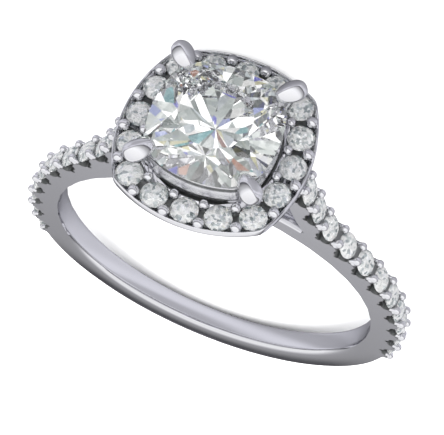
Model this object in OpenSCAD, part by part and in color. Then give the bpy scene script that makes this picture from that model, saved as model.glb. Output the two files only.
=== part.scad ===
// Halo ring: a cushion-cut stone held by four claws over a cushion-shaped halo of
// round stones, on a hoop whose shoulders rise to the halo and carry a row of round
// stones each. The ring lies on its side, the head towards the front.

/* [Hoop] */
// Inside diameter of the hoop
finger_d = 17; // [15:0.25:20]
// Width of the hoop from side to side
hoop_w = 1.24; // [1.1:0.02:1.6]
// Thickness of the hoop under the head
hoop_top_t = 1; // [0.8:0.05:1.3]
// Thickness of the hoop at its lowest point
hoop_base_t = 2.2; // [1.6:0.05:2.6]
// Depth of the dome across the outside of the hoop
dome = 0.25; // [0.1:0.05:0.35]
// Softening of the two inner edges of the hoop
inner_soft = 0.06; // [0.02:0.02:0.12]

/* [Shoulders] */
// Thickness of a shoulder where it leaves the hoop
shoulder_t = 1.5; // [1.2:0.05:1.8]
// Radius of a shoulder's slow curve as a multiple of the hoop's
sweep_share = 1.103; // [1.08:0.001:1.15]
// Angle from the top at which the slow curve starts on the hoop
leave_deg = 84; // [80:1:88]
// Angle from the top at which the curve becomes straight
rise_deg = 50.8; // [50:0.2:53]
// Distance of each bend from the ring's middle
bend_x = 5.34; // [5.1:0.02:5.5]
// Lean of the top part of a shoulder from upright
lean_deg = 20; // [17:0.5:22]
// Radius of the bend between the two straight parts
bend_r = 4.2; // [3:0.1:5]

/* [Round stones] */
// Diameter of each halo stone
halo_d = 1.22; // [1.1:0.01:1.24]
// Diameter of each shoulder stone
row_d = 1.26; // [1.1:0.01:1.3]
// Stones in each shoulder row
row_count = 11; // [9:1:11]
// Spacing of the stones along a shoulder
row_pitch = 1.53; // [1.48:0.01:1.58]
// Clearance between a round stone and the metal round it
seat_gap = 0.03; // [0.02:0.01:0.05]
// Diameter of the beads that hold the shoulder stones
row_bead_d = 0.38; // [0.32:0.02:0.42]
// Radius of the scalloped notch under each shoulder stone
notch_r = 0.44; // [0.3:0.01:0.46]

/* [Halo] */
// Height of the halo stones' girdles above the top of the hoop
halo_up = 3.65; // [3.4:0.05:4.2]
// Half the width of the halo across its sides
halo_half = 4.27; // [4.2:0.01:4.5]
// Radius of the curve of each halo side
halo_side_r = 6.57; // [6.3:0.01:7]
// Width of the halo band from its outer to its inner edge
halo_band = 1.42; // [1.4:0.01:1.48]
// Width of the raised polished rim
rim_w = 0.1; // [0.08:0.01:0.12]
// Diameter of the outer beads of the halo
outer_bead_d = 0.43; // [0.36:0.01:0.44]
// Diameter of the inner beads of the halo
inner_bead_d = 0.36; // [0.3:0.01:0.38]

/* [Centre stone] */
// Half the width of the centre stone across its sides
stone_half = 2.83; // [2.7:0.01:2.85]
// Radius of the curve of each side of the centre stone
stone_side_r = 5.7; // [5:0.1:7]
// Distance from the middle of the stone to its rounded corners
stone_corner_r = 3.2; // [3.1:0.02:3.25]
// Height of the centre stone's girdle above the halo stones' girdles
stone_lift = 1.5; // [1.3:0.05:1.7]
// Clearance between the centre stone and its claws
claw_gap = 0.04; // [0.03:0.01:0.06]

/* [Claws and gallery] */
// Length of an egg-shaped claw
claw_l = 1.4; // [1.2:0.02:1.5]
// Widest diameter of an egg-shaped claw
claw_d = 0.9; // [0.7:0.02:0.94]
// Diameter of a post at its top
post_d = 0.74; // [0.6:0.02:0.8]
// Thickness of the gallery rail
rail_t = 0.27; // [0.2:0.01:0.3]
// Gap between the gallery rail and the halo
rail_gap = 0.13; // [0.1:0.01:0.16]
// Middle radius of the collar that joins the posts to the hoop
collar_r = 1.52; // [1.3:0.02:1.6]

/* [Hidden] */
$fn = 96;
metal = [0.78, 0.78, 0.82];
gem = [0.93, 0.95, 0.98];
// How far one blended edge crosses the next, so that they never only touch
blend = 0.003;

// Hoop: two circles, the outer one set lower so that the base is thicker
finger_r = finger_d / 2;
outer_r = (finger_d + hoop_top_t + hoop_base_t) / 2;
drop = (hoop_base_t - hoop_top_t) / 2;
half_w = hoop_w / 2;
dome_r = (half_w * half_w + dome * dome) / (2 * dome);

// Round stones: heights as shares of the diameter, the girdle's top at zero
crown_k = 0.15;
girdle_k = 0.03;
pavilion_k = 0.43;
table_share = 0.56;

// Depth of a stone's girdle under the crest of the hoop, and of the metal under it
row_sink = 0.08;
wall_drop = 0.04;
row_bead_lift = 0.18;
// Depth of a notch's centre under the girdle
notch_sink = 0.15;
// Depth of the row's first point under the halo's wall
row_start = 0.68;

// Halo levels, each named by its height over or its depth under the girdles
rim_rise = 0.15;
floor_depth = 0.2;
wall_depth = 0.22;
plate_depth = 0.7;
shelf_depth = 0.45;
plate_inset = 0.3;
halo_open = 1;
halo_z = outer_r - drop + halo_up;
rim_top = halo_z + rim_rise;
halo_floor = halo_z - floor_depth;
wall_bottom = halo_z - wall_depth;
plate_bottom = halo_z - plate_depth;
shelf_top = halo_z - shelf_depth;

// Centre stone levels, and the depth of the gallery rail's top under its girdle
stone_z = halo_z + stone_lift;
stone_girdle_h = 0.08;
stone_crown_h = 0.8;
stone_pavilion_h = 2.55;
stone_table_share = 0.56;
rail_depth = 0.62;
rail_top = stone_z - rail_depth;

// Claws: place and height of an egg's middle, and where its post starts and ends
claw_reach = 0.245;
claw_lift = 0.29;
foot_lift = 0.1;
head_in = 0.06;
claw_out = stone_corner_r + claw_reach;
claw_z = stone_z + claw_lift;
post_foot = [collar_r, outer_r - drop + foot_lift];
post_head = [claw_out - head_in, claw_z];
post_taper = 0.8;
egg_taper = 0.3;
egg_steps = 10;

// Collar that the posts stand in: its thickness, height and depth in the hoop
collar_t = 0.54;
collar_h = 0.7;
collar_sink = 0.25;

// Beads: clearance beyond a seat, a post's share of its bead's diameter, and lengths
bead_gap = 0.02;
stem_share = 0.84;
row_stem = 0.4;
halo_bead_lift = 0.06;
halo_stem = 0.3;
// How far an outer bead of the halo runs into the rim
rim_hold = 0.01032;

// The line of girdles down a shoulder, in the plane of the hoop. An angle is that of
// the outward normal from straight up. n is the normal and t points down the row.
function n(a) = [sin(a), cos(a)];
function t(a) = [cos(a), -sin(a)];
function arc_deg(len, r) = len / r * 180 / PI;
function arc_len(deg, r) = deg * r * PI / 180;
lean_a = 90 - lean_deg;
turn = lean_a - rise_deg;
row_r = outer_r - row_sink;
hoop_c = [0, -drop];
sweep_r = sweep_share * row_r;
leave_p = hoop_c + row_r * n(leave_deg);
sweep_c = leave_p - sweep_r * n(leave_deg);
rise_p = sweep_c + sweep_r * n(rise_deg);
straight_l = (rise_p[0] - bend_x) / cos(rise_deg);
bend_p = rise_p - straight_l * t(rise_deg);
bend_l = bend_r * tan(turn / 2);
low_p = bend_p + bend_l * t(rise_deg);
high_p = bend_p - bend_l * t(lean_a);
bend_c = low_p + bend_r * n(rise_deg);
row_top_z = wall_bottom - row_start;
len_1 = (row_top_z - high_p[1]) / sin(lean_a);
top_p = high_p - len_1 * t(lean_a);
len_2 = len_1 + arc_len(turn, bend_r);
len_3 = len_2 + straight_l - bend_l;
len_4 = len_3 + arc_len(leave_deg - rise_deg, sweep_r);

// Normal's angle and point at a distance s down the row
function row_a(s) =
  s < len_1 ? lean_a :
  s < len_2 ? lean_a - arc_deg(s - len_1, bend_r) :
  s < len_3 ? rise_deg :
  s < len_4 ? rise_deg + arc_deg(s - len_3, sweep_r) :
  leave_deg + arc_deg(s - len_4, row_r);
function row_p(s) =
  s < len_1 ? top_p + s * t(lean_a) :
  s < len_2 ? bend_c - bend_r * n(row_a(s)) :
  s < len_3 ? low_p + (s - len_2) * t(rise_deg) :
  s < len_4 ? sweep_c + sweep_r * n(row_a(s)) :
  hoop_c + row_r * n(row_a(s));
function stone_s(i) = (i + 0.5) * row_pitch;

// Depth of a cut above a shoulder stone's seat, and how far joined shapes overlap
row_open = 0.6;
overlap = 1;

// A halo stone's place: three on each side's curve and one at each corner
halo_centre = halo_side_r - halo_half;
halo_row_r = halo_side_r - rim_w - seat_gap - halo_d / 2;
corner_deg = asin((sqrt(2 * halo_row_r * halo_row_r - halo_centre * halo_centre)
  - halo_centre) / 2 / halo_row_r);
function halo_deg(i) = (i % 4 - 1) * corner_deg / 2;
function halo_local(a) = [halo_row_r * sin(a), halo_row_r * cos(a) - halo_centre];
halo_step = 2 * halo_row_r * sin(corner_deg / 4);

// Corners of the halo and of the gallery rail, as distances from the middle
halo_corner_r = norm(halo_local(corner_deg)) + halo_d / 2 + seat_gap + rim_w;
corner_extra = 0.34;
rail_corner_out = 0.03;
inner_corner_r = halo_corner_r - halo_band - corner_extra;
inner_corner_in = halo_corner_r - inner_corner_r;
rail_corner_r = inner_corner_r + rail_corner_out;
rail_in = halo_band + rail_gap + rail_t;
rail_corner_in = halo_corner_r - rail_corner_r + rail_t;

// Places of the beads between two stones, out and in from the middle of the pair
function bead_out(stone_d, d, pitch) =
  sqrt(pow(stone_d / 2 + seat_gap + d / 2 + bead_gap, 2) - pow(pitch / 2, 2));
row_bead_y = bead_out(row_d, row_bead_d, row_pitch);

// The ring lies on its side: it touches at the halo's lower edge and the hoop's base
hoop_edge_h = half_w;
hoop_edge_r = outer_r - dome;
rest_up = wall_bottom + hoop_edge_r + drop;
rest_out = halo_half - hoop_edge_h;
tilt = atan2(rest_out, rest_up);
lift = halo_half * cos(tilt) - wall_bottom * sin(tilt);
head_y = (stone_z + stone_crown_h) * cos(tilt) + stone_half * stone_table_share * sin(tilt);
base_y = (outer_r + drop) * cos(tilt);
shift = (head_y - base_y) / 2;

// Everything is drawn upright, round the finger axis, then laid down
module laid_down() {
  translate([0, shift, lift])
    rotate([90 - tilt, 0, 0])
      rotate([0, 0, 180])
        children();
}

// Stands a flat shape up in the plane of the hoop
module upright(h) {
  rotate([90, 0, 0])
    linear_extrude(height = h, center = true)
      children();
}

module hoop() {
  translate([0, 0, -drop])
    rotate([90, 0, 0])
      rotate_extrude()
        difference() {
          translate([0, -half_w]) square([outer_r, hoop_w]);
          difference() {
            translate([outer_r - dome_r, -hoop_w]) square([2 * dome_r, 2 * hoop_w]);
            translate([outer_r - dome_r, 0]) circle(r = dome_r);
          }
        }
}

module finger_hole() {
  rotate([90, 0, 0]) {
    cylinder(h = 4 * hoop_w, r = finger_r, center = true);
    for (side = [-1, 1])
      scale([1, 1, side])
        translate([0, 0, half_w - inner_soft])
          cylinder(h = overlap, r1 = finger_r, r2 = finger_r + overlap);
  }
}

// Outline of a shoulder: the straight parts, the bend, and the slow curve below
module shoulder_outline() {
  under = wall_drop + shoulder_t;
  mid_a = (lean_a + rise_deg) / 2;
  outer_k = bend_p - wall_drop / cos(turn / 2) * n(mid_a);
  inner_k = bend_p - under / cos(turn / 2) * n(mid_a);
  outer_top = outer_k - (halo_floor - outer_k[1]) / sin(lean_a) * t(lean_a);
  inner_top = inner_k - (halo_floor - inner_k[1]) / sin(lean_a) * t(lean_a);
  wall_r = sweep_r - wall_drop;
  root_a = row_a(stone_s(7));
  fill_l = 1.4 * bend_l;
  under_l = 0.65 * straight_l;
  difference() {
    union() {
      polygon([sweep_c + (wall_r - blend) * n(rise_deg), outer_k, outer_top, inner_top,
        inner_k, inner_k + under_l * t(rise_deg),
        sweep_c + (wall_r - overlap) * n(rise_deg)]);
      // Metal that fills the bend
      difference() {
        polygon([outer_k, outer_k + bend_l * t(rise_deg), outer_k - bend_l * t(lean_a)]);
        translate(bend_c) circle(r = bend_r + wall_drop + blend);
      }
      // The slow curve, which ends in the seat of a stone
      intersection() {
        translate(sweep_c) circle(r = wall_r);
        polygon([for (q = [[-overlap, rise_deg - 4], [-overlap, root_a],
          [overlap, root_a], [overlap, rise_deg - 4]])
          sweep_c + (wall_r + q[0]) * n(q[1])]);
      }
    }
    // Rounding of the shoulder's underside at the bend
    difference() {
      polygon([inner_k, inner_k + fill_l * t(rise_deg), inner_k - fill_l * t(lean_a)]);
      translate(bend_c) circle(r = bend_r + under + blend);
    }
  }
}

module at_row(s) {
  p = row_p(s);
  translate([p[0], 0, p[1]])
    rotate([0, row_a(s), 0])
      children();
}

// A short post with a round bead on top, its seat level at zero
module prong(d, lift_h, root) {
  translate([0, 0, -root]) cylinder(h = root + lift_h, d = stem_share * d);
  translate([0, 0, lift_h]) sphere(d = d);
}

module shoulder_prongs() {
  for (i = [0:row_count], side = [-1, 1])
    at_row(i * row_pitch)
      translate([0, side * row_bead_y, 0])
        prong(row_bead_d, row_bead_lift, row_stem);
}

// The space cut for one round stone, open at the top
module seat(d, top) {
  r = d / 2 + seat_gap;
  rotate_extrude()
    polygon([[0, -girdle_k * d - 2 * pavilion_k * r], [r, -girdle_k * d], [r, top], [0, top]]);
}

module shoulder_seats() {
  for (i = [0:row_count - 1])
    at_row(stone_s(i)) {
      seat(row_d, row_open);
      translate([0, 0, -notch_sink])
        rotate([90, 0, 0])
          cylinder(h = 2 * hoop_w, r = notch_r, center = true);
    }
}

// Cushion-shaped block between two levels, its sides and corners moved in
module cushion_block(side_in, corner_in, z0, z1) {
  translate([0, 0, z0])
    linear_extrude(height = z1 - z0)
      intersection_for(a = [0:90:270])
        intersection() {
          rotate(a) translate([-halo_centre, 0]) circle(r = halo_side_r - side_in);
          circle(r = halo_corner_r - corner_in);
        }
}

module halo_plate() {
  difference() {
    union() {
      cushion_block(0, 0, wall_bottom, rim_top);
      cushion_block(plate_inset, plate_inset, plate_bottom, halo_floor);
    }
    cushion_block(rim_w, rim_w, halo_floor, rim_top + overlap);
    cushion_block(halo_band, inner_corner_in, shelf_top, rim_top + overlap);
    cushion_block(rail_in, rail_corner_in, plate_bottom - overlap, rim_top + overlap);
  }
}

// Stands its children on the row of halo stones, at an angle on one side's curve
module at_side(side, a) {
  q = halo_local(a);
  rotate([0, 0, -90 * side])
    translate([q[0], q[1], halo_z])
      rotate([0, 0, -a])
        children();
}

module halo_beads() {
  chord = halo_row_r * (1 - cos(corner_deg / 4));
  for (side = [0:3], k = [-3:2:3])
    at_side(side, k * corner_deg / 4) {
      translate([0, halo_d / 2 + seat_gap + rim_hold - outer_bead_d / 2, 0])
        prong(outer_bead_d, halo_bead_lift, halo_stem);
      translate([0, -bead_out(halo_d, inner_bead_d, halo_step) - chord, 0])
        prong(inner_bead_d, halo_bead_lift, halo_stem);
    }
}

module halo_seats() {
  for (i = [0:15])
    at_side(floor(i / 4), halo_deg(i)) seat(halo_d, halo_open);
}

// Polished wall that stands between the halo and the centre stone
module gallery_rail() {
  difference() {
    cushion_block(halo_band + rail_gap, halo_corner_r - rail_corner_r,
      plate_bottom, rail_top);
    cushion_block(rail_in, rail_corner_in, plate_bottom - overlap, rail_top + overlap);
  }
}

module collar() {
  rotate_extrude()
    translate([collar_r - collar_t / 2, outer_r - drop - collar_sink])
      square([collar_t, collar_h]);
}

// Half outline of an egg, blunt at the low end and pointed at the high end
module egg() {
  rotate_extrude()
    polygon([for (k = [0:egg_steps])
      let (u = -cos(180 * k / egg_steps), r = claw_d / 2 * sin(180 * k / egg_steps))
      [r * (1 - egg_taper * u) / (1 + egg_taper * egg_taper / 2), u * claw_l / 2]]);
}

module claw() {
  run = post_head - post_foot;
  translate([post_foot[0], 0, post_foot[1]])
    rotate([0, atan2(run[0], run[1]), 0])
      cylinder(h = norm(run), d1 = post_taper * post_d, d2 = post_d);
  translate([claw_out, 0, claw_z])
    rotate([0, -90, 0])
      egg();
}

module claws() {
  for (a = [45:90:315])
    rotate([0, 0, a]) claw();
}

// The centre stone's space, cut from the claws
module centre_seat() {
  r = stone_corner_r + claw_gap;
  k = r / stone_corner_r;
  rotate_extrude()
    translate([0, stone_z])
      polygon([[0, -stone_girdle_h - stone_pavilion_h * k],
        [r, -stone_girdle_h - claw_gap], [r, claw_gap],
        [stone_table_share * r, stone_crown_h + claw_gap], [0, stone_crown_h + claw_gap]]);
}

module mount() {
  color(metal)
    laid_down()
      difference() {
        union() {
          hoop();
          for (side = [0, 1])
            mirror([side, 0, 0]) {
              upright(hoop_w) shoulder_outline();
              shoulder_prongs();
            }
          halo_plate();
          halo_beads();
          gallery_rail();
          collar();
          claws();
        }
        finger_hole();
        for (side = [0, 1])
          mirror([side, 0, 0]) shoulder_seats();
        halo_seats();
        centre_seat();
      }
}

// A brilliant with eight main facets above and below. Each list entry of reach is the
// distance from the middle to the girdle at one of sixteen even steps round it.
module brilliant(reach, table, crown, girdle, pavilion) {
  star = (table + 1) / 2;
  low = 0.22;
  c = cos(22.5);
  function ring(f, z, odd) = [for (k = [0:7])
    let (j = 2 * k + odd) [f * reach[j] * cos(22.5 * j), f * reach[j] * sin(22.5 * j), z]];
  star_z = crown * (1 - (star * c - table) / (1 - table));
  low_z = -girdle - pavilion * (1 - low * c);
  edge = [for (j = [0:15]) [reach[j] * cos(22.5 * j), reach[j] * sin(22.5 * j)]];
  points = concat(
    ring(table, crown, 0), ring(star, star_z, 1),
    [for (e = edge) [e[0], e[1], 0]], [for (e = edge) [e[0], e[1], -girdle]],
    ring(low, low_z, 1), [[0, 0, -girdle - pavilion]]);
  s0 = 8;
  g0 = 16;
  u0 = 32;
  p0 = 48;
  tip = 56;
  faces = concat(
    [[for (k = [7:-1:0]) k]],
    [for (k = [0:7]) let (m = (k + 1) % 8) each [
      [k, m, s0 + k],
      [k, s0 + k, g0 + 2 * k], [m, g0 + 2 * m, s0 + k],
      [s0 + k, g0 + 2 * k + 1, g0 + 2 * k], [s0 + k, g0 + 2 * m, g0 + 2 * k + 1],
      [p0 + k, u0 + 2 * k, u0 + 2 * k + 1], [p0 + k, u0 + 2 * k + 1, u0 + 2 * m],
      [tip, u0 + 2 * k, p0 + k], [tip, p0 + k, u0 + 2 * m]]],
    [for (j = [0:15]) let (m = (j + 1) % 16)
      [g0 + j, g0 + m, u0 + m, u0 + j]]);
  polyhedron(points, faces);
}

module round_stone(d) {
  brilliant([for (j = [0:15]) d / 2], table_share, crown_k * d, girdle_k * d, pavilion_k * d);
}

module halo_stone(i) {
  color(gem) laid_down() at_side(floor((i - 1) / 4), halo_deg(i - 1)) round_stone(halo_d);
}

module shoulder_stone(i, side) {
  color(gem)
    laid_down()
      mirror([side, 0, 0])
        at_row(stone_s(i - 1)) round_stone(row_d);
}

// Distance from the middle to the centre stone's edge in a direction
function stone_reach(a) =
  let (c = stone_side_r - stone_half, b = abs((a + 45) % 90 - 45))
  min(stone_corner_r, -c * cos(b) + sqrt(pow(stone_side_r, 2) - pow(c * sin(b), 2)));

module centre_stone() {
  color(gem)
    laid_down()
      translate([0, 0, stone_z])
        brilliant([for (j = [0:15]) stone_reach(22.5 * j)], stone_table_share,
          stone_crown_h, stone_girdle_h, stone_pavilion_h);
}

mount();
centre_stone();
halo_stone(1);  // halo_stone_01
halo_stone(2);  // halo_stone_02
halo_stone(3);  // halo_stone_03
halo_stone(4);  // halo_stone_04
halo_stone(5);  // halo_stone_05
halo_stone(6);  // halo_stone_06
halo_stone(7);  // halo_stone_07
halo_stone(8);  // halo_stone_08
halo_stone(9);  // halo_stone_09
halo_stone(10);  // halo_stone_10
halo_stone(11);  // halo_stone_11
halo_stone(12);  // halo_stone_12
halo_stone(13);  // halo_stone_13
halo_stone(14);  // halo_stone_14
halo_stone(15);  // halo_stone_15
halo_stone(16);  // halo_stone_16
shoulder_stone(1, 0);  // shoulder_stone_r01
shoulder_stone(2, 0);  // shoulder_stone_r02
shoulder_stone(3, 0);  // shoulder_stone_r03
shoulder_stone(4, 0);  // shoulder_stone_r04
shoulder_stone(5, 0);  // shoulder_stone_r05
shoulder_stone(6, 0);  // shoulder_stone_r06
shoulder_stone(7, 0);  // shoulder_stone_r07
shoulder_stone(8, 0);  // shoulder_stone_r08
shoulder_stone(9, 0);  // shoulder_stone_r09
shoulder_stone(10, 0);  // shoulder_stone_r10
shoulder_stone(11, 0);  // shoulder_stone_r11
shoulder_stone(1, 1);  // shoulder_stone_l01
shoulder_stone(2, 1);  // shoulder_stone_l02
shoulder_stone(3, 1);  // shoulder_stone_l03
shoulder_stone(4, 1);  // shoulder_stone_l04
shoulder_stone(5, 1);  // shoulder_stone_l05
shoulder_stone(6, 1);  // shoulder_stone_l06
shoulder_stone(7, 1);  // shoulder_stone_l07
shoulder_stone(8, 1);  // shoulder_stone_l08
shoulder_stone(9, 1);  // shoulder_stone_l09
shoulder_stone(10, 1);  // shoulder_stone_l10
shoulder_stone(11, 1);  // shoulder_stone_l11
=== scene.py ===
# %% [markdown]
# # A halo ring, piece by piece
# This lesson dresses a jeweller's ring in Blender. The ring lies on its side on a
# pale table. It is one polished mount and thirty-nine cut stones. We start by
# loading the solid model, which fixes where everything is.

# %% Load the solid model
import bpy, bmesh, math
from mathutils import Matrix, Vector


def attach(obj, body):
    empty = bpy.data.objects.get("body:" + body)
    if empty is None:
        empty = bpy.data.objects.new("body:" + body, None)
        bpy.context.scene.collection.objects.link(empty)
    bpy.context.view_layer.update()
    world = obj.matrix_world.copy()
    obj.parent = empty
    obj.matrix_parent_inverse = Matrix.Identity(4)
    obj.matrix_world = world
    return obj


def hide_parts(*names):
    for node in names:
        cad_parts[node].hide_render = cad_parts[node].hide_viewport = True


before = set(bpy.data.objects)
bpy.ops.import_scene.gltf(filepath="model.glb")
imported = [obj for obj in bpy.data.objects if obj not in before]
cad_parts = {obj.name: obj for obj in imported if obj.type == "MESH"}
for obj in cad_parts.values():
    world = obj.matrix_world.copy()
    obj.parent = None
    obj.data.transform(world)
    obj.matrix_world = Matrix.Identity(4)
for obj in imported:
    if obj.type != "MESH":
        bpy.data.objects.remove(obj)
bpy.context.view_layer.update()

# %% [markdown]
# ## Upright first, then laid down
# A ring is easiest to draw upright: the finger axis along Y, the head up along Z,
# and the middle of the finger hole at zero, in millimetres. One matrix lays every
# finished mesh down the way the real ring rests: it touches the table with the
# edge of its halo and with the base of its hoop. The place goes into the mesh,
# so each object stays at the origin.

# %% One matrix lays the ring down
TILT = math.radians(8.8732)
LIFT, SHIFT = 2.2245, 2.4688
LAID_DOWN = (Matrix.Scale(0.001, 4) @ Matrix.Translation((0, SHIFT, LIFT))
             @ Matrix.Rotation(math.pi / 2 - TILT, 4, "X") @ Matrix.Rotation(math.pi, 4, "Z"))
print("the ring's middle lies at, metres:", [round(v, 5) for v in LAID_DOWN.translation])

# %% [markdown]
# Every piece ends the same way. Its doubles are merged, its faces turned outwards and
# its place put into the mesh. Edges sharper than a limit stay crisp and the rest is
# shaded smooth. The piece then rides on the solid model's one body, called root.

# %% Turn a finished mesh into a piece
SOFT_EDGE_DEG = 35


def piece_from(bm, name, materials, smooth_deg=32):
    """Lays a finished bmesh down and makes it an object of the ring."""
    bmesh.ops.remove_doubles(bm, verts=bm.verts, dist=1e-4)
    bmesh.ops.recalc_face_normals(bm, faces=bm.faces)
    bmesh.ops.transform(bm, matrix=LAID_DOWN, verts=bm.verts)
    mesh = bpy.data.meshes.new(name)
    bm.to_mesh(mesh)
    bm.free()
    for m in materials:
        mesh.materials.append(m)
    mesh.shade_smooth()
    mesh.set_sharp_from_angle(angle=math.radians(smooth_deg))
    piece = bpy.data.objects.new(name, mesh)
    bpy.context.scene.collection.objects.link(piece)
    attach(piece, "root")
    print(name, len(mesh.polygons), "faces")
    return piece


def soften(piece, width_mm, segments=2):
    """A narrow bevel on the sharp edges, which is what catches the light."""
    bevel = piece.modifiers.new("soft_edges", "BEVEL")
    bevel.width = width_mm / 1000
    bevel.segments = segments
    bevel.limit_method = "ANGLE"
    bevel.angle_limit = math.radians(SOFT_EDGE_DEG)
    bevel.harden_normals = True
    return piece

# %% [markdown]
# ## Polished metal
# White gold has no colour of its own to speak of: what we see is the room. So the
# metal is fully metallic and nearly smooth. Even so a hand polish is never the same
# all over. A cloud of noise moves the roughness a little, and a very fine bump
# stands for the polishing marks. Both read Object coordinates, so that they stay
# fixed to the piece.

# %% Noise for roughness and for fine marks
def new_material(name, colour, metallic, roughness, ior=1.5):
    """A material with one shader, whose sockets hold plain numbers."""
    mat = bpy.data.materials.new(name)
    mat.use_nodes = True
    shader = mat.node_tree.nodes["Principled BSDF"]
    shader.inputs["Base Color"].default_value = (*colour, 1)
    shader.inputs["Metallic"].default_value = metallic
    shader.inputs["Roughness"].default_value = roughness
    shader.inputs["IOR"].default_value = ior
    return mat, shader


def noise_on_object(mat, scale, detail=2.0):
    nodes, links = mat.node_tree.nodes, mat.node_tree.links
    where = nodes.new("ShaderNodeTexCoord")
    noise = nodes.new("ShaderNodeTexNoise")
    noise.inputs["Scale"].default_value = scale
    noise.inputs["Detail"].default_value = detail
    links.new(where.outputs["Object"], noise.inputs["Vector"])
    return noise


def vary_roughness(mat, shader, scale, low, high):
    """Lets the roughness drift between two values."""
    noise = noise_on_object(mat, scale)
    spread = mat.node_tree.nodes.new("ShaderNodeMapRange")
    spread.inputs["To Min"].default_value = low
    spread.inputs["To Max"].default_value = high
    mat.node_tree.links.new(noise.outputs["Fac"], spread.inputs["Value"])
    mat.node_tree.links.new(spread.outputs["Result"], shader.inputs["Roughness"])

# %% [markdown]
# Inside the settings a jeweller can't polish, so the metal there is dull, and its
# dark colour is painted shade for those deep recesses. The open floor of the halo's
# tray is dull too, with a lighter painted shade, and the rail round the centre stone
# is brushed to a satin. The polish itself is a touch violet. A metal's Specular Tint
# darkens it where we look along the surface, which draws the dark outlines that
# polished jewellery shows.

# %% The four metals
def fine_bump(mat, shader, scale, depth_m, strength):
    noise = noise_on_object(mat, scale, 3.0)
    bump = mat.node_tree.nodes.new("ShaderNodeBump")
    bump.inputs["Strength"].default_value = strength
    bump.inputs["Distance"].default_value = depth_m
    mat.node_tree.links.new(noise.outputs["Fac"], bump.inputs["Height"])
    mat.node_tree.links.new(bump.outputs["Normal"], shader.inputs["Normal"])


def metal(name, colour, roughness, cloud_scale, bump):
    """A metal with a low and a high roughness. bump is a scale, a depth and a strength."""
    mat, shader = new_material(name, colour, 1.0, sum(roughness) / 2)
    vary_roughness(mat, shader, cloud_scale, *roughness)
    fine_bump(mat, shader, *bump)
    return mat, shader


polished, shader = metal("polished_white_gold", (0.79, 0.79, 0.815), (0.05, 0.11), 260,
                         (9000, 0.000002, 0.12))
shader.inputs["Specular Tint"].default_value = (0.55, 0.55, 0.56, 1)
# Its dark colour is painted shade for the deep recesses; only its dull roughness is the metal's own.
setting, _ = metal("unpolished_setting_painted_shade", (0.25, 0.255, 0.255), (0.3, 0.55), 1500,
                   (6000, 0.00001, 0.4))
# Its darker colour is a lighter painted shade for the halo's floor; its matt roughness is real.
tray_floor, _ = metal("matt_tray_floor_painted_shade", (0.60, 0.61, 0.61), (0.3, 0.55), 1500,
                      (6000, 0.00001, 0.4))
satin, _ = metal("satin_rail", (0.78, 0.78, 0.80), (0.16, 0.26), 400, (5000, 0.000004, 0.2))
print("metals:", polished.name, setting.name, tray_floor.name, satin.name)

# %% [markdown]
# ## Clear cut stone
# A diamond bends light far more than glass does, so its index of refraction is 2.42.
# Its surface is perfectly smooth and its facets stay flat. A faint noise in the
# roughness keeps the facets from looking like one sheet of plastic.

# %% Material of the centre stone
def stone(name, through, dullest):
    """A clear stone that lets a share of the light through."""
    mat, shader = new_material(name, (1.0, 1.0, 1.0), 0.0, 0.0, ior=2.42)
    shader.inputs["Transmission Weight"].default_value = through
    vary_roughness(mat, shader, 900, 0.0, dullest)
    return mat, shader


clear, _ = stone("clear_stone", 1.0, 0.004)
print("centre stone:", clear.name)

# %% [markdown]
# A small stone's facets are only about 0.14 mm wide, and they flash white or
# blue-grey one by one. Cells of that width on Object coordinates paint those flashes
# into the base colour as painted glints, and a little less transmission stands for
# the light that its facets send back.

# %% Materials of the small stones
# The tones below paint flashes of reflected light into the small stones' colour.
FLASH_M, PAINTED_GLINT_TONES = 0.00014, (0.3, 1.0, 0.75, 1.0, 1.0, 0.55, 1.0, 1.0)


def painted_facet_glints(mat, shader):
    """Painted glints: small flat cells of different lightness, the darker ones a little bluer."""
    nodes, links = mat.node_tree.nodes, mat.node_tree.links
    where = nodes.new("ShaderNodeTexCoord")
    cells = nodes.new("ShaderNodeTexVoronoi")
    cells.inputs["Scale"].default_value = 1 / FLASH_M
    pick = nodes.new("ShaderNodeSeparateColor")
    tones = nodes.new("ShaderNodeValToRGB")
    tones.color_ramp.interpolation = "CONSTANT"
    while len(tones.color_ramp.elements) < len(PAINTED_GLINT_TONES):
        tones.color_ramp.elements.new(0.5)
    for k, (stop, tone) in enumerate(zip(tones.color_ramp.elements, PAINTED_GLINT_TONES)):
        stop.position = k / len(PAINTED_GLINT_TONES)
        stop.color = (tone ** 1.2, tone ** 1.04, tone, 1)
    links.new(where.outputs["Object"], cells.inputs["Vector"])
    links.new(cells.outputs["Color"], pick.inputs["Color"])
    links.new(pick.outputs["Red"], tones.inputs["Fac"])
    links.new(tones.outputs["Color"], shader.inputs["Base Color"])


for row, through in (("halo_stone", 0.78), ("shoulder_stone", 0.74)):
    mat, shader = stone("clear_" + row, through, 0.006)
    painted_facet_glints(mat, shader)
    nodes_of_row = [node for name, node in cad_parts.items() if name.startswith(row)]
    for node in nodes_of_row:
        node.data.materials.clear()
        node.data.materials.append(mat)
    print(mat.name, "on", len(nodes_of_row), "stones")

# %% [markdown]
# ## The line down a shoulder
# The stones of a shoulder stand on one line: straight under the halo, a bend, a
# straight slope, a slow curve, and at last the hoop's own circle. We write that line
# as two small functions of the distance s from its top: the outward normal's angle
# and the point. Everything on the shoulder is placed with them. The sizes come
# first, in millimetres and in degrees from straight up.

# %% Sizes of the hoop and the line of stones
# The finger hole's radius, the hoop's outer radius and how far its middle is
# dropped, half the hoop's width and the height of its dome.
FINGER_R, OUTER_R, DROP, HALF_W, DOME = 8.5, 10.1, 0.6, 0.62, 0.25
# How deep the line lies in the hoop, the normal where it leaves the hoop, on the
# slope and under the halo, and the radius and place of the bend between those two.
ROW_SINK, LEAVE, RISE, LEAN, BEND_R, BEND_X = 0.08, 84.0, 50.8, 70.0, 4.2, 5.34
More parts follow.
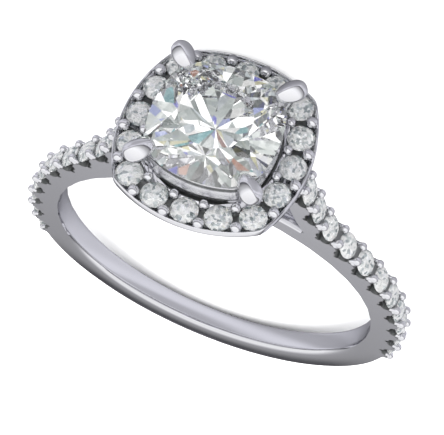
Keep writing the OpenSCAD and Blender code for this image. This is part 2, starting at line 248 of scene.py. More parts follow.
# The stones' spacing and number, and the height at which the line starts.
PITCH, COUNT, ROW_TOP = 1.53, 11, 12.25
ROW_R = OUTER_R - ROW_SINK
SWEEP_R = 1.103 * ROW_R
ROW_END = COUNT * PITCH
print("row length, mm:", ROW_END)

# %% [markdown]
# Each stretch touches the next one without a kink, so the middles of the curves and
# the places where a stretch begins follow from the sizes. Two directions help: the
# one that points out of the line and the one that runs down along it.

# %% Where each stretch begins
def normal(a):
    return Vector((math.sin(math.radians(a)), 0, math.cos(math.radians(a))))


def along(a):
    return Vector((math.cos(math.radians(a)), 0, -math.sin(math.radians(a))))


hoop_c = Vector((0, 0, -DROP))
leave_p = hoop_c + ROW_R * normal(LEAVE)
sweep_c = leave_p - SWEEP_R * normal(LEAVE)
rise_p = sweep_c + SWEEP_R * normal(RISE)
slope_l = (rise_p.x - BEND_X) / math.cos(math.radians(RISE))
bend_p = rise_p - slope_l * along(RISE)
bend_l = BEND_R * math.tan(math.radians((LEAN - RISE) / 2))
low_p, high_p = bend_p + bend_l * along(RISE), bend_p - bend_l * along(LEAN)
bend_c = low_p + BEND_R * normal(RISE)
bend_from = (ROW_TOP - high_p.z) / math.sin(math.radians(LEAN))
top_p = high_p - bend_from * along(LEAN)
slope_from = bend_from + math.radians(LEAN - RISE) * BEND_R
sweep_from = slope_from + slope_l - bend_l
hoop_from = sweep_from + math.radians(LEAVE - RISE) * SWEEP_R
print("stretches begin at, mm:", [round(v, 2) for v in (bend_from, slope_from, sweep_from, hoop_from)])

# %% [markdown]
# The two functions ask which stretch a distance falls in, and answer with that
# stretch's straight line or circle.

# %% Angle and point at a distance
def row_angle(s):
    if s < bend_from:
        return LEAN
    if s < slope_from:
        return LEAN - math.degrees((s - bend_from) / BEND_R)
    if s < sweep_from:
        return RISE
    if s < hoop_from:
        return RISE + math.degrees((s - sweep_from) / SWEEP_R)
    return LEAVE + math.degrees((s - hoop_from) / ROW_R)


def row_point(s):
    if s < bend_from:
        return top_p + s * along(LEAN)
    if s < slope_from:
        return bend_c - BEND_R * normal(row_angle(s))
    if s < sweep_from:
        return low_p + (s - slope_from) * along(RISE)
    if s < hoop_from:
        return sweep_c + SWEEP_R * normal(row_angle(s))
    return hoop_c + ROW_R * normal(row_angle(s))


print("last bead at, degrees:", round(row_angle(ROW_END), 1))

# %% [markdown]
# ## The shank
# The shank is one band: down the right shoulder, round the hoop and up the left
# shoulder. Under each stone its outer edge is cut away in a round notch, and below
# the last stone it becomes a soft dome. A band like that is a section that is
# extruded from station to station, its points set anew at each one. We draw the
# right half and mirror it. The notches' walls get the dull dark metal: its roughness
# is real, its dark colour is painted shade in the notches.

# %% Heights of the shank's outer edge
# Half a notch's width, where its wall starts, how deep it goes, and the drill's mark.
NOTCH_HALF, NOTCH_TOP, NOTCH_DEPTH = 0.46, -0.1, 0.30
DRILL_R, DRILL_DEPTH = 0.115, 0.56
# How far a tooth stays under the girdles, the arm's thickness, and an overlap.
WALL, SHOULDER_T, JOIN = 0.04, 1.0, 0.02
# The band starts above the line's top, inside the halo. Half a tooth's length.
TOP_S, TOOTH = -0.72, 0.165


def tooth_height(s):
    share = min(1, max(0, (s - sweep_from) / (hoop_from - sweep_from)))
    return -WALL + share * (ROW_SINK + WALL - JOIN)


def edge_height(s):
    """Height of the outer edge over the stones' girdles, and whether it is a notch."""
    if s < TOOTH or s > ROW_END - TOOTH:
        return tooth_height(s), False
    off = abs((s % PITCH) - PITCH / 2)
    if off > PITCH / 2 - TOOTH:
        return tooth_height(s), False
    depth = NOTCH_TOP - NOTCH_DEPTH * math.sqrt(max(0, 1 - (off / NOTCH_HALF) ** 4))
    if off < DRILL_R:
        depth = -DRILL_DEPTH + DRILL_R - math.sqrt(DRILL_R ** 2 - off ** 2)
    return depth, True


def inner_point(q, n):
    """The shoulder's own underside, or the finger hole where the hoop fills the gap."""
    under = q - (WALL + SHOULDER_T) * n
    if (under - hoop_c).length > OUTER_R - JOIN:
        return under
    b = q.dot(n)
    return q - n * (b - math.sqrt(b * b - q.dot(q) + FINGER_R ** 2))


print("a notch's middle lies at:", edge_height(PITCH / 2)[0], "mm")

# %% [markdown]
# A notch has a flat tooth at each end, a steep round wall and a small drilled pit in
# its middle, so its stations stand closest where its outline turns. The hoop below
# the last stone needs far fewer.

# %% Stations down the right half
HALF_NOTCH = [0, 0.164, 0.166, 0.22, 0.30, 0.308, 0.325, 0.365, 0.445, 0.545, 0.649, 0.651,
              0.665, 0.695, 0.73, 0.765]
ROW_DOME, END_DOME, AFTER_ROW = 0.03, 0.8 * DOME, 0.15
HOOP_STEPS, SWELL_DEG = 40, 30
one_notch = HALF_NOTCH + [PITCH - v for v in reversed(HALF_NOTCH[1:-1])]
places = [TOP_S, TOP_S / 2]
places += [i * PITCH + v for i in range(COUNT) for v in one_notch]
places += [ROW_END, ROW_END + AFTER_ROW]
stations = []
for s in places:
    q, n = row_point(s), normal(row_angle(s))
    height, notch = edge_height(s)
    dome = ROW_DOME if s < ROW_END else END_DOME
    if s > ROW_END:
        height = ROW_SINK
    stations.append((q + height * n, inner_point(q, n), n, dome, notch, 0))
plain_from = row_angle(ROW_END + 2 * AFTER_ROW)
for k in range(HOOP_STEPS + 1):
    a = plain_from + (180 - plain_from) * k / HOOP_STEPS
    n = normal(a)
    outer = hoop_c + OUTER_R * n
    inner = FINGER_R * outer.normalized()
    stations.append((outer, inner, n, DOME, False, min(1, (a - plain_from) / SWELL_DEG)))
print("stations in half the shank:", len(stations))

# %% [markdown]
# The section goes round from the inner edge: six points up one side, nine points
# over the dome, six points down the other side, and seven across the finger side,
# whose edges are softly rounded for comfort. On the shoulders the sides are flat.
# Lower down they swell a little, which makes the soft gleam along the hoop.

# %% The band's section
# A point on a side: its share of the way from the inner to the outer edge, and the
# share of the width that the swell takes there. One on the bore: across, then out.
ACROSS = [-1, -0.75, -0.5, -0.25, 0, 0.25, 0.5, 0.75, 1]
SIDE = [(0.04, 0.09), (0.08, 0.05), (0.15, 0.018), (0.24, 0.0), (0.55, 0.015), (0.78, 0.06)]
BORE = [(0.855, 0.012), (0.77, 0.003), (0.6, 0), (0, 0), (-0.6, 0), (-0.77, 0.003),
        (-0.855, 0.012)]
TOP_NARROWS = 0.12


def section_at(outer, inner, n, dome, half_w, swell=0.0):
    """The section's points, from an outer and an inner point on the hoop's middle."""
    top_w = half_w * (1 - TOP_NARROWS * swell)
    edge = outer - n * dome
    up = [(inner.lerp(edge, share), half_w * (1 - swell * less)) for share, less in SIDE]
    points = [Vector((p.x, -w, p.z)) for p, w in up]
    for v in ACROSS:
        p = outer - n * dome * v * v
        points.append(Vector((p.x, v * top_w, p.z)))
    points += [Vector((p.x, w, p.z)) for p, w in reversed(up)]
    for v, share in BORE:
        p = inner.lerp(edge, share)
        points.append(Vector((p.x, v * half_w, p.z)))
    return points


print("points in a section:", 2 * len(SIDE) + len(ACROSS) + len(BORE))

# %% [markdown]
# The sweep draws the section's edges out and sets the new points to the next
# station's places. Extruding gives its new points in no fixed order, so each old
# point takes the nearest new one, which still lies where the old one is. The faces
# over the dome get the second material, the painted shade, wherever a notch begins or goes on.

# %% Extrude the section from station to station
OVER = slice(len(SIDE), len(SIDE) + len(ACROSS))


def sweep(bm, sections, notches, painted_shade_index):
    """Extrudes a closed section through all its stations."""
    verts = [bm.verts.new(p) for p in sections[0]]
    first = list(verts)
    edges = [bm.edges.new((verts[i], verts[(i + 1) % len(verts)])) for i in range(len(verts))]
    for k, points in enumerate(sections[1:], 1):
        new = bmesh.ops.extrude_edge_only(bm, edges=edges)["geom"]
        made = [g for g in new if isinstance(g, bmesh.types.BMVert)]
        nearest = [min(made, key=lambda v: (v.co - old.co).length_squared) for old in verts]
        over = set(verts[OVER] + nearest[OVER])
        for f in (g for g in new if isinstance(g, bmesh.types.BMFace)):
            if (notches[k] or notches[k - 1]) and over.issuperset(f.verts):
                f.material_index = painted_shade_index
        for v, p in zip(nearest, points):
            v.co = p
        verts = nearest
        edges = [bm.edges.get((verts[i], verts[(i + 1) % len(verts)])) for i in range(len(verts))]
    return first, verts


print("faces of the dome between two stations:", len(ACROSS) - 1)

# %% [markdown]
# The right half's last station lies on the mirror's plane, so the two halves join
# into one closed band.

# %% Sweep the shank and mirror it
bm = bmesh.new()
sections = [section_at(o, i, n, d, HALF_W, swell) for o, i, n, d, _, swell in stations]
first, _ = sweep(bm, sections, [notch for _, _, _, _, notch, _ in stations], 1)
bmesh.ops.contextual_create(bm, geom=first)
half = bm.verts[:] + bm.edges[:] + bm.faces[:]
bmesh.ops.mirror(bm, geom=half, axis="X", merge_dist=0.01)
# The second material paints shade into the notches.
shank = soften(piece_from(bm, "shank", [polished, setting], smooth_deg=28), 0.05)
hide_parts("mount")

# %% [markdown]
# ## The strand under the head
# Between the shoulders the hoop goes on as a thin strand, which closes the finger
# hole under the stones. It is the same section, swept over the top of the hoop.

# %% Sweep the strand
STRAND_DEG, STRAND_STEPS, STRAND_DOME, STRAND_HALF_W = 31, 48, 0.12, 0.614
bm = bmesh.new()
sections = []
for k in range(STRAND_STEPS + 1):
    n = normal(-STRAND_DEG + 2 * STRAND_DEG * k / STRAND_STEPS)
    outer = hoop_c + OUTER_R * n
    inner = FINGER_R * outer.normalized()
    sections.append(section_at(outer, inner, n, STRAND_DOME, STRAND_HALF_W))
first, last = sweep(bm, sections, [False] * len(sections), 0)
bmesh.ops.contextual_create(bm, geom=first)
bmesh.ops.contextual_create(bm, geom=last)
soften(piece_from(bm, "strand", [polished], smooth_deg=28), 0.05)

# %% [markdown]
# ## Beads that hold the small stones
# A bead is a drop of metal that the setter pushes up to a stone's edge. Each is a
# short post with a ball on it, and on the shoulders a small tongue leads it down into
# the side of the arm. The balls of one row go into one mesh: create a sphere and a
# cylinder with a matrix that puts them on the line.

# %% Beads of the shoulders
BEAD_R, BEAD_UP, BEAD_Y, BEAD_ROOT = 0.21, 0.16, 0.40, 0.3
TONGUE_Y, TONGUE_SINK, TONGUE_SIZE = 0.475, 0.12, (0.28, 0.14, 0.38)
POST_SHARES = (0.95, 0.84)


def bead(bm, at, radius, up, root):
    """A ball on a short post. The matrix at has its Z along the post."""
    ball = at @ Matrix.Translation((0, 0, up))
    bmesh.ops.create_uvsphere(bm, u_segments=16, v_segments=10, radius=radius, matrix=ball)
    post = at @ Matrix.Translation((0, 0, (up - root) / 2))
    thick, thin = (radius * share for share in POST_SHARES)
    bmesh.ops.create_cone(bm, cap_ends=True, segments=16, radius1=thick, radius2=thin,
                          depth=up + root, matrix=post)


def on_row(s, y, side):
    """A place on the line, y off its middle, on the right (1) or the left (-1)."""
    a = row_angle(s) * side
    q = row_point(s)
    return Matrix.Translation((q.x * side, y, q.z)) @ Matrix.Rotation(math.radians(a), 4, "Y")


bm = bmesh.new()
for side in (1, -1):
    for i in range(COUNT + 1):
        for y in (-1, 1):
            bead(bm, on_row(i * PITCH, y * BEAD_Y, side), BEAD_R, BEAD_UP, BEAD_ROOT)
            tongue = (on_row(i * PITCH, y * TONGUE_Y, side)
                      @ Matrix.Translation((0, 0, -TONGUE_SINK))
                      @ Matrix.Diagonal((*TONGUE_SIZE, 1)))
            bmesh.ops.create_uvsphere(bm, u_segments=16, v_segments=10, radius=1.0, matrix=tongue)
piece_from(bm, "shoulder_beads", [polished], smooth_deg=50)

# %% [markdown]
# ## The cushion outline
# Halo, gallery rail and centre stone share one kind of outline: four bowed sides and
# rounded corners. One function gives how far it reaches in a direction. Each ring
# round the stone is then a circle of points, pushed out to that reach and extruded
# from one corner of its profile to the next.

# %% Reach of a cushion outline
HALO_Z, SIDE_R, HALO_HALF, CORNER_R, BAND = 13.15, 6.57, 4.27, 4.712, 1.42
CORNER_PULL = 0.24


def cushion_reach(angle, side_r, bow, corner_r):
    """Distance from the middle to a cushion's edge. bow is how far a side's centre is off."""
    b = (angle + math.pi / 4) % (math.pi / 2) - math.pi / 4
    side = -bow * math.cos(b) + math.sqrt(side_r ** 2 - (bow * math.sin(b)) ** 2)
    return min(corner_r, side)


def halo_reach(angle, inset):
    """The halo's outline, moved in by an inset. Its corners move in a little faster."""
    corner_in = inset * (1 + CORNER_PULL * inset / BAND)
    return cushion_reach(angle, SIDE_R - inset, SIDE_R - HALO_HALF, CORNER_R - corner_in)


print("halo's half width and corner, mm:", halo_reach(0, 0), halo_reach(math.pi / 4, 0))

# %% [markdown]
# A profile is a short list of steps: how far in from the outline, and how high. The
# faces between two listed steps can be given the second, darker metal, which paints
# shade into recesses and gaps.

# %% Sweep a profile round a cushion
RING_STEPS = 128


def cushion_ring(bm, profile, reach, dark):
    """Extrudes a closed profile of (inset, height) pairs round a cushion outline."""
    ring = bmesh.ops.create_circle(bm, cap_ends=False, segments=RING_STEPS, radius=1.0)["verts"]
    for v in ring:
        a = math.atan2(v.co.y, v.co.x)
        r = reach(a, profile[0][0])
        v.co = Vector((r * math.cos(a), r * math.sin(a), profile[0][1]))
    edges = list({e for v in ring for e in v.link_edges})
    first = edges
    for k, (inset, z) in enumerate(profile[1:], 1):
        new = bmesh.ops.extrude_edge_only(bm, edges=edges)["geom"]
        for v in (g for g in new if isinstance(g, bmesh.types.BMVert)):
            a = math.atan2(v.co.y, v.co.x)
            r = reach(a, inset)
            v.co = Vector((r * math.cos(a), r * math.sin(a), z))
        for f in (g for g in new if isinstance(g, bmesh.types.BMFace)):
            f.material_index = 1 if k in dark else 0
        edges = [g for g in new if isinstance(g, bmesh.types.BMEdge)]
        edges = [e for e in edges if all(abs(v.co.z - z) < 1e-5 for v in e.verts) and e.is_boundary]
    joined = bmesh.ops.bridge_loops(bm, edges=first + edges)["faces"]
    for f in joined:
        f.material_index = 1 if 0 in dark else 0


print("points round a ring:", RING_STEPS)

# %% [markdown]
# ## The halo's tray
# The small stones of the halo sit in a tray: a thin polished rim outside, and a
# deep floor that the light hardly reaches, with its shade painted into its colour.

# %% Sweep the tray
bm = bmesh.new()
tray = [(0.0, 12.93), (0.0, 13.24), (0.02, 13.285), (0.05, 13.30), (0.08, 13.285),
        (0.10, 13.24), (0.10, 13.15), (0.30, 12.99), (0.40, 12.58), (1.12, 12.58),
        (1.18, 12.95), (1.36, 13.02), (1.42, 12.99), (1.42, 12.45), (0.30, 12.45),
        (0.30, 12.93)]
cushion_ring(bm, tray, halo_reach, dark=(8, 9, 10))
# The tray's floor steps take the painted shade.
piece_from(bm, "halo_tray", [polished, tray_floor], smooth_deg=40)

# %% [markdown]
# ## Beads of the halo
# Between two stones stand an outer and a smaller inner bead. Each pair shares its
# two neighbours, so a bead's place follows from its distance to their middles.

# %% Place the halo's beads
RIM_W, SEAT_GAP, HALO_STONE_R = 0.1, 0.03, 0.61
# A bead's radius, and its distance to the middles of its two stones.
OUTER_BEAD, INNER_BEAD = (0.265, 0.875), (0.23, 0.84)
HALO_BEAD_UP, HALO_BEAD_ROOT = 0.06, 0.2
ROW_HALO = SIDE_R - RIM_W - SEAT_GAP - HALO_STONE_R
BOW = SIDE_R - HALO_HALF
CORNER_X = (math.sqrt(2 * ROW_HALO ** 2 - BOW ** 2) - BOW) / 2
CORNER_DEG = math.degrees(math.asin(CORNER_X / ROW_HALO))


def on_side(side, a, out):
    """A place on one side's curve, out from the line of stones."""
    r = math.radians(a)
    p = Vector((ROW_HALO * math.sin(r), ROW_HALO * math.cos(r) - BOW, HALO_Z))
    p += out * Vector((math.sin(r), math.cos(r), 0))
    return Matrix.Rotation(-math.pi / 2 * side, 4, "Z") @ Matrix.Translation(p)


step = 2 * ROW_HALO * math.sin(math.radians(CORNER_DEG / 4))
chord = ROW_HALO * (1 - math.cos(math.radians(CORNER_DEG / 4)))
bm = bmesh.new()
for side in range(4):
    for k in (-3, -1, 1, 3):
        for way, (radius, reach) in ((1, OUTER_BEAD), (-1, INNER_BEAD)):
            off = way * math.sqrt(reach ** 2 - (step / 2) ** 2) - chord
            at = on_side(side, k * CORNER_DEG / 4, off)
            bead(bm, at, radius, HALO_BEAD_UP, HALO_BEAD_ROOT)
piece_from(bm, "halo_beads", [polished], smooth_deg=50)

# %% [markdown]
# ## The gallery rail
# A thin wall stands inside the halo, round the centre stone. It steps in above the
# small stones, and a plain shelf joins it to the tray. Two of the wall's faces and
# most of the shelf take the dull dark metal, whose colour paints the shade of the
# gaps: the dark lines that frame the centre stone.

# %% Sweep the rail
RAIL_GAP, RAIL_CORNER_R = 0.13, 2.98


def rail_reach(angle, inset):
    return cushion_reach(angle, SIDE_R - BAND - RAIL_GAP - inset, BOW, RAIL_CORNER_R - inset)


bm = bmesh.new()
rail = [(0, 12.45), (0, 13.04), (0, 13.26), (-0.05, 13.34), (-0.07, 13.40), (-0.05, 13.46),
        (0.11, 13.70), (0.13, 13.75), (0.13, 13.98), (0.16, 14.02), (0.22, 14.02),
        (0.27, 13.97), (0.27, 12.45)]
# The steps listed as dark take the metal with painted shade, for gaps and shadow.
cushion_ring(bm, rail, rail_reach, dark=(1, 8))
shelf = [(-0.2, 12.45), (-0.2, 12.68), (0.02, 12.68), (0.02, 12.45)]
cushion_ring(bm, shelf, rail_reach, dark=(1, 2, 3))
piece_from(bm, "gallery_rail", [satin, setting], smooth_deg=40)

# %% [markdown]
# ## Claws and collar
# Four claws hold the centre stone. Each is an egg of metal with a soft ridge along
# its back, on a post that goes down through the halo to a collar on the hoop. The
# egg is a sphere that is stretched, made blunt, wider outside than over the stone,
# and filed off to both sides of its back. The ridge splits it in a light and a dark
# half, as a jeweller's file does.

# %% Shape a claw
CLAW_OUT, CLAW_Z, CLAW_L, CLAW_W, CLAW_D = 3.445, 14.935, 1.4, 0.98, 0.89
RIDGE, RIDGE_W, BLUNT, TAPER, FULLEST = 0.45, 0.06, 0.2, 0.16, 1.02
POST_FOOT, POST_IN, POST_R = (1.52, 0, 9.6), 0.06, (0.296, 0.37)


def egg(bm, turn):
    """A stretched sphere, blunt at its ends, with a ridge along its back."""
    made = bmesh.ops.create_uvsphere(bm, u_segments=96, v_segments=32, radius=1.0)["verts"]
    bmesh.ops.rotate(bm, verts=made, matrix=Matrix.Rotation(math.pi / 2, 3, "Y"))
    for v in made:
        u, y, z = v.co
        r = max(1e-6, math.hypot(y, z))
        fuller = r ** -BLUNT * (1 + TAPER * u) / FULLEST
        y, z = y * fuller, z * fuller
        if z > 0:
            z *= 1 - RIDGE * (math.hypot(y, RIDGE_W) - RIDGE_W)
        v.co = Vector((u * CLAW_L / 2, y * CLAW_W / 2, z * CLAW_D / 2))
    bmesh.ops.translate(bm, verts=made, vec=(CLAW_OUT, 0, CLAW_Z))
    bmesh.ops.rotate(bm, verts=made, matrix=Matrix.Rotation(turn, 3, "Z"))


def post(bm, turn):
    """A straight, slightly tapered post from the collar up to a claw."""
    foot, head = Vector(POST_FOOT), Vector((CLAW_OUT - POST_IN, 0, CLAW_Z))
    run = head - foot
    lean = Matrix.Rotation(math.atan2(run.x, run.z), 4, "Y")
    at = Matrix.Rotation(turn, 4, "Z") @ Matrix.Translation((foot + head) / 2) @ lean
    bmesh.ops.create_cone(bm, cap_ends=True, segments=32, radius1=POST_R[0],
                          radius2=POST_R[1], depth=run.length, matrix=at)


bm = bmesh.new()
for k in range(4):
    turn = math.pi / 4 + k * math.pi / 2
    egg(bm, turn)
    post(bm, turn)
piece_from(bm, "claws", [polished], smooth_deg=60)

# %% [markdown]
# The collar is a small square profile, spun all the way round.

# %% Spin the collar
COLLAR = [(1.25, 0, 9.25), (1.79, 0, 9.25), (1.79, 0, 9.95), (1.25, 0, 9.95)]
bm = bmesh.new()
corners = [bm.verts.new(p) for p in COLLAR]
profile = [bm.edges.new((corners[i], corners[(i + 1) % 4])) for i in range(4)]
bmesh.ops.spin(bm, geom=corners + profile, cent=(0, 0, 0), axis=(0, 0, 1), angle=2 * math.pi,
               steps=64, use_merge=True)
soften(piece_from(bm, "collar", [polished], smooth_deg=30), 0.06)

# %% [markdown]
# ## Cutting the centre stone
# A lapidary starts from a rough and grinds one flat at a time. Blender can do just
# that: bisect_plane throws away what is outside a plane, and the cut is filled. A
# facet is given by its direction, its tilt and one point that it passes through.

# %% Grind one facet
STONE_Z, GIRDLE, CROWN, PAVILION = 14.65, 0.08, 0.8, 2.55
STONE_SIDE_R, STONE_BOW, STONE_CORNER_R = 5.7, 2.87, 3.2


def polar(r, deg, z=0.0):
    """The point at a distance and a direction from the stone's middle."""
    return Vector((r * math.cos(math.radians(deg)), r * math.sin(math.radians(deg)), z))


def stone_reach(deg):
    return cushion_reach(math.radians(deg), STONE_SIDE_R, STONE_BOW, STONE_CORNER_R)


def grind(bm, azimuth, tilt, through, up):
    """One flat facet: azimuth and tilt in degrees, through a point, up 1 or down -1."""
    a, t = math.radians(azimuth), math.radians(tilt)
    n = Vector((math.sin(t) * math.cos(a), math.sin(t) * math.sin(a), up * math.cos(t)))
    cut = bmesh.ops.bisect_plane(bm, geom=bm.verts[:] + bm.edges[:] + bm.faces[:], dist=1e-5,
                                 plane_co=through, plane_no=n, clear_outer=True)
    rim = [g for g in cut["geom_cut"] if isinstance(g, bmesh.types.BMEdge)]
    if rim:
        bmesh.ops.contextual_create(bm, geom=rim)


print("the stone's half width and corner, mm:", stone_reach(0), stone_reach(45))

# %% [markdown]
# The girdle comes first: upright flats along the cushion's four bowed sides, and
# three more round each corner.

# %% Girdle
ROUGH_SIZE = 7.0
bm = bmesh.new()
bmesh.ops.create_cube(bm, size=ROUGH_SIZE)
for k in range(4):
    for off in (-20, -12, -4, 4, 12, 20):
        touch = polar(STONE_SIDE_R, off) - Vector((STONE_BOW, 0, 0))
        touch.rotate(Matrix.Rotation(math.pi / 2 * k, 3, "Z"))
        grind(bm, 90 * k + off, 90, touch, 1)
    for off, at in ((33, 41), (45, 45), (57, 49)):
        grind(bm, 90 * k + off, 90, polar(stone_reach(at), 90 * k + at), 1)
print("rough with its girdle:", len(bm.faces), "faces")

# %% [markdown]
# The crown is the part that we look through: a flat table, eight kites, sixteen
# narrow halves between them, and eight stars that touch the table.

# %% Crown
KITE_TILTS, HALF_TILT, STAR_TILT = (32.7, 29.6), 36.5, 20
STAR_R, STAR_Z, STAR_DEGS = 2.39, 0.5, (27, 18)
grind(bm, 0, 0, Vector((0, 0, CROWN)), 1)
for k in range(8):
    grind(bm, 45 * k, KITE_TILTS[k % 2], polar(stone_reach(45 * k), 45 * k), 1)
for k in range(16):
    deg = 11.25 + 22.5 * k
    grind(bm, deg, HALF_TILT + 0.5 * math.sin(5 * k), polar(stone_reach(deg), deg, 0.01), 1)
for k in range(8):
    deg = 45 * k + STAR_DEGS[k % 2]
    grind(bm, deg, STAR_TILT, polar(STAR_R, deg, STAR_Z), 1)
print("with its crown:", len(bm.faces), "faces")

# %% [markdown]
# The pavilion below sends the light back up. Sixteen mains meet in the point, and two
# shorter sets stand between them. No cutter holds an angle perfectly, and the small
# waves added to the angles make each facet mirror its own bit of the room.

# %% Pavilion
UPPER_TILT, EDGE_TILT = 43.2, 46.5
culet = Vector((0, 0, -GIRDLE - PAVILION))
for k in range(16):
    deg = 22.5 * k
    tilt = math.degrees(math.atan(PAVILION / stone_reach(deg)))
    grind(bm, deg + 0.7 * math.sin(3 * k), tilt + 0.15 * math.sin(7 * k), culet, -1)
for k in range(16):
    deg = 11.25 + 22.5 * k
    on_main = polar(0.55 * stone_reach(deg), deg, -GIRDLE - 0.455 * PAVILION)
    grind(bm, deg, UPPER_TILT + 0.5 * math.sin(4 * k), on_main, -1)
for k in range(32):
    deg = 5.6 + 11.25 * k
    tilt = EDGE_TILT + 1.2 * math.sin(5 * k)
    grind(bm, deg, tilt, polar(stone_reach(deg), deg, -GIRDLE), -1)
bmesh.ops.translate(bm, verts=bm.verts, vec=(0, 0, STONE_Z))
centre = piece_from(bm, "centre_brilliant", [clear], smooth_deg=1)
for f in centre.data.polygons:
    f.use_smooth = False
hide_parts("centre_stone")

# %% [markdown]
# ## Table, camera and light
# The ring lies on a wide pale table, in a room whose light is soft and even.

# %% Table top
TABLE_HALF = 0.6
bm = bmesh.new()
bmesh.ops.create_grid(bm, x_segments=1, y_segments=1, size=TABLE_HALF)
mesh = bpy.data.meshes.new("table_top")
bm.to_mesh(mesh)
bm.free()
floor = bpy.data.objects.new("table_top", mesh)
bpy.context.scene.collection.objects.link(floor)
print("table, metres across:", [round(v, 2) for v in floor.dimensions[:2]])

# %% [markdown]
# Polished metal needs something to mirror, so the table and the world are darker to
# reflections than to the eye, as grey cards round a jeweller's light tent are. What
# the metal sees of the table also has soft patches. The stones don't see the table
# at all: they look through it into the sky.

# %% Material of the table
PATCH_TONES = (0.20, 0.20, 0.215, 1), (0.33, 0.33, 0.355, 1)
PATCH_EDGE = 0.42, 0.56
floor_mat, shader = new_material("pale_table", (0.9, 0.9, 0.9), 0.0, 0.6)
vary_roughness(floor_mat, shader, 40, 0.55, 0.65)
nodes, links = floor_mat.node_tree.nodes, floor_mat.node_tree.links
patches = noise_on_object(floor_mat, 110, 1.0)
soft_edge = nodes.new("ShaderNodeMapRange")
soft_edge.interpolation_type = "SMOOTHSTEP"
soft_edge.inputs["From Min"].default_value = PATCH_EDGE[0]
soft_edge.inputs["From Max"].default_value = PATCH_EDGE[1]
tone = nodes.new("ShaderNodeMix")
tone.data_type = "RGBA"
tone.inputs["A"].default_value, tone.inputs["B"].default_value = PATCH_TONES
in_metal = nodes.new("ShaderNodeBsdfDiffuse")
path = nodes.new("ShaderNodeLightPath")
swap = nodes.new("ShaderNodeMixShader")
links.new(patches.outputs["Fac"], soft_edge.inputs["Value"])
links.new(soft_edge.outputs["Result"], tone.inputs["Factor"])
links.new(tone.outputs["Result"], in_metal.inputs["Color"])
links.new(path.outputs["Is Glossy Ray"], swap.inputs["Fac"])
links.new(shader.outputs["BSDF"], swap.inputs[1])
links.new(in_metal.outputs["BSDF"], swap.inputs[2])
links.new(swap.outputs["Shader"], nodes["Material Output"].inputs["Surface"])
mesh.materials.append(floor_mat)
floor.visible_transmission = False
print("table:", floor_mat.name, "with", len(nodes), "nodes")

# %% [markdown]
# The camera stands where the photographer's stood, a little above the table, with a
# long lens. The picture is turned, because the ring was shown head up. A place and
# three angles are all that it takes.

# % Camera
CAMERA_AT = (-0.010576, -0.059654, 0.038596)
CAMERA_TURN_DEG = (-55.6643, 21.4491, -176.2362)
lens = bpy.data.cameras.new("view_camera")
lens.sensor_width = 36
lens.lens = 115.34
lens.clip_start, lens.clip_end = 0.001, 10
camera = bpy.data.objects.new("view_camera", lens)
bpy.context.scene.collection.objects.link(camera)
camera.location = CAMERA_AT
camera.rotation_euler = [math.radians(v) for v in CAMERA_TURN_DEG]
bpy.context.scene.camera = camera
print("camera's distance to the origin, metres:", round(camera.location.length, 4))

# %% [markdown]
# The world is one sky, but it shows three faces: plain white to the eye, a grey room
# to the metal, and a lively pattern of light and dark to whatever looks through the
# stones, which is where their sparkle comes from. The plain one is a single colour.

# %% Sky for the eye
world = bpy.data.worlds.new("soft_room")
bpy.context.scene.world = world
world.use_nodes = True
nodes, links = world.node_tree.nodes, world.node_tree.links
nodes.clear()
out = nodes.new("ShaderNodeOutputWorld")
where = nodes.new("ShaderNodeTexCoord")
plain = nodes.new("ShaderNodeBackground")
plain.inputs["Color"].default_value = (1, 1, 1, 1)
plain.inputs["Strength"].default_value = 2.4
print("sky:", world.name)

# %% [markdown]
# The grey room is dark at the horizon and bright overhead, which draws the dark and
# light bands along the hoop, and it is a little brighter on the side of the viewer.

# %% Sky for the metal
def ramp(stops):
    """A colour ramp from (place, colour) pairs."""
    r = nodes.new("ShaderNodeValToRGB")
    while len(r.color_ramp.elements) < len(stops):
        r.color_ramp.elements.new(0.5)
    for e, (at, colour) in zip(r.color_ramp.elements, stops):
        e.position = at
        e.color = (*colour, 1)
    return r


def spread(value, low, high, to_low, to_high):
    """Maps a value between two limits to a value between two others."""
    m = nodes.new("ShaderNodeMapRange")
    m.inputs["From Min"].default_value, m.inputs["From Max"].default_value = low, high
    m.inputs["To Min"].default_value, m.inputs["To Max"].default_value = to_low, to_high
    links.new(value, m.inputs["Value"])
    return m.outputs["Result"]


def shining(colour, strength):
    """A background whose colour and strength come from other nodes."""
    light = nodes.new("ShaderNodeBackground")
    links.new(colour, light.inputs["Color"])
    links.new(strength, light.inputs["Strength"])
    return light


split = nodes.new("ShaderNodeSeparateXYZ")
links.new(where.outputs["Generated"], split.inputs["Vector"])
room = ramp([(0.50, (0.08, 0.08, 0.09)), (0.53, (0.14, 0.14, 0.15)),
             (0.58, (0.42, 0.42, 0.43)), (0.63, (0.55, 0.55, 0.57)),
             (0.67, (0.83, 0.83, 0.85)), (0.73, (1.06, 1.06, 1.07)),
             (0.85, (1.0, 1.0, 1.0)), (1.0, (0.95, 0.95, 0.97))])
links.new(spread(split.outputs["Z"], -1, 1, 0, 1), room.inputs["Fac"])
grey = shining(room.outputs["Color"], spread(split.outputs["Y"], -0.8, 0.1, 1.16, 1.0))
print("bands of the grey room:", len(room.color_ramp.elements))

# %% [markdown]
# The lively sky is made of flat cells. A ramp without blending gives each cell one of
# thirteen lights: blacks, greys and whites for the most part, and a few spectral
# tints. A finer set of cells makes neighbouring facets differ a little.

# %% Sky for the stones
def sky_cells(scale, channel):
    """A different number for each cell of a pattern on the sky."""
    cells = nodes.new("ShaderNodeTexVoronoi")
    cells.inputs["Scale"].default_value = scale
    links.new(where.outputs["Generated"], cells.inputs["Vector"])
    pick = nodes.new("ShaderNodeSeparateColor")
    links.new(cells.outputs["Color"], pick.inputs["Color"])
    return pick.outputs[channel]


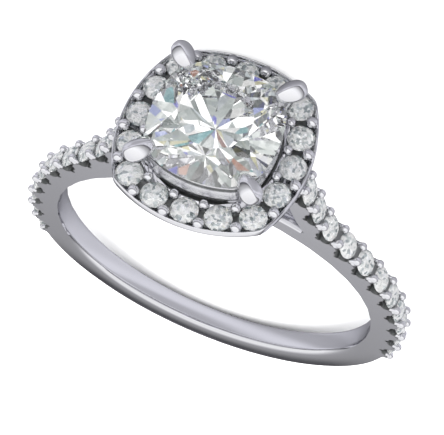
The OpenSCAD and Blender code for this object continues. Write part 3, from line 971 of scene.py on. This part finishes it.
spark = ramp([(0.0, (0.01, 0.01, 0.01)), (0.08, (0.07, 0.08, 0.075)),
              (0.17, (0.25, 0.29, 0.27)), (0.29, (0.50, 0.55, 0.53)),
              (0.41, (0.80, 0.85, 0.82)), (0.53, (1.12, 1.12, 1.10)),
              (0.66, (1.75, 1.75, 1.75)), (0.79, (0.56, 0.61, 0.64)),
              (0.88, (0.15, 0.15, 0.64)), (0.91, (0.24, 0.50, 0.52)),
              (0.925, (0.36, 0.13, 0.06)), (0.94, (0.74, 0.71, 0.45)),
              (0.975, (0.36, 0.41, 0.72))])
spark.color_ramp.interpolation = "CONSTANT"
links.new(sky_cells(24.0, "Red"), spark.inputs["Fac"])
lively = shining(spark.outputs["Color"], spread(sky_cells(55.0, "Green"), 0, 1, 0.68, 1.08))
print("lights of the lively sky:", len(spark.color_ramp.elements))

# %% [markdown]
# Light Path tells which kind of ray asks, and so picks the face that it sees.

# %% Choose the face by the ray
path = nodes.new("ShaderNodeLightPath")


def choose(ray, otherwise, face):
    swap = nodes.new("ShaderNodeMixShader")
    links.new(path.outputs[ray], swap.inputs["Fac"])
    links.new(otherwise, swap.inputs[1])
    links.new(face, swap.inputs[2])
    return swap.outputs["Shader"]


eye_or_metal = choose("Is Glossy Ray", plain.outputs["Background"], grey.outputs["Background"])
sky = choose("Is Transmission Ray", eye_or_metal, lively.outputs["Background"])
links.new(sky, out.inputs["Surface"])
print("nodes in the sky:", len(nodes))

# %% [markdown]
# One wide softbox lights the table and the stones from the front left. It is hidden
# from reflections and from the stones' inside, where its even white would blot out
# the pattern of the sky. Cut stones pass light on many times, so rays may bounce often.

# %% Soft light
def softbox(name, at, size, power):
    light = bpy.data.lights.new(name, "AREA")
    light.shape = "RECTANGLE"
    light.size, light.size_y = size
    light.energy = power
    box = bpy.data.objects.new(name, light)
    bpy.context.scene.collection.objects.link(box)
    box.location = at
    box.rotation_euler = (-Vector(at)).to_track_quat("-Z", "Y").to_euler()
    return box


window = softbox("wide_window", (-0.10, -0.22, 0.16), (0.30, 0.12), 0.55)
window.visible_glossy = window.visible_transmission = False
bpy.context.scene.view_settings.view_transform = "Standard"
cycles = bpy.context.scene.cycles
cycles.max_bounces, cycles.glossy_bounces, cycles.transmission_bounces = 24, 20, 20
print("soft light:", window.name, window.data.energy, "watts")
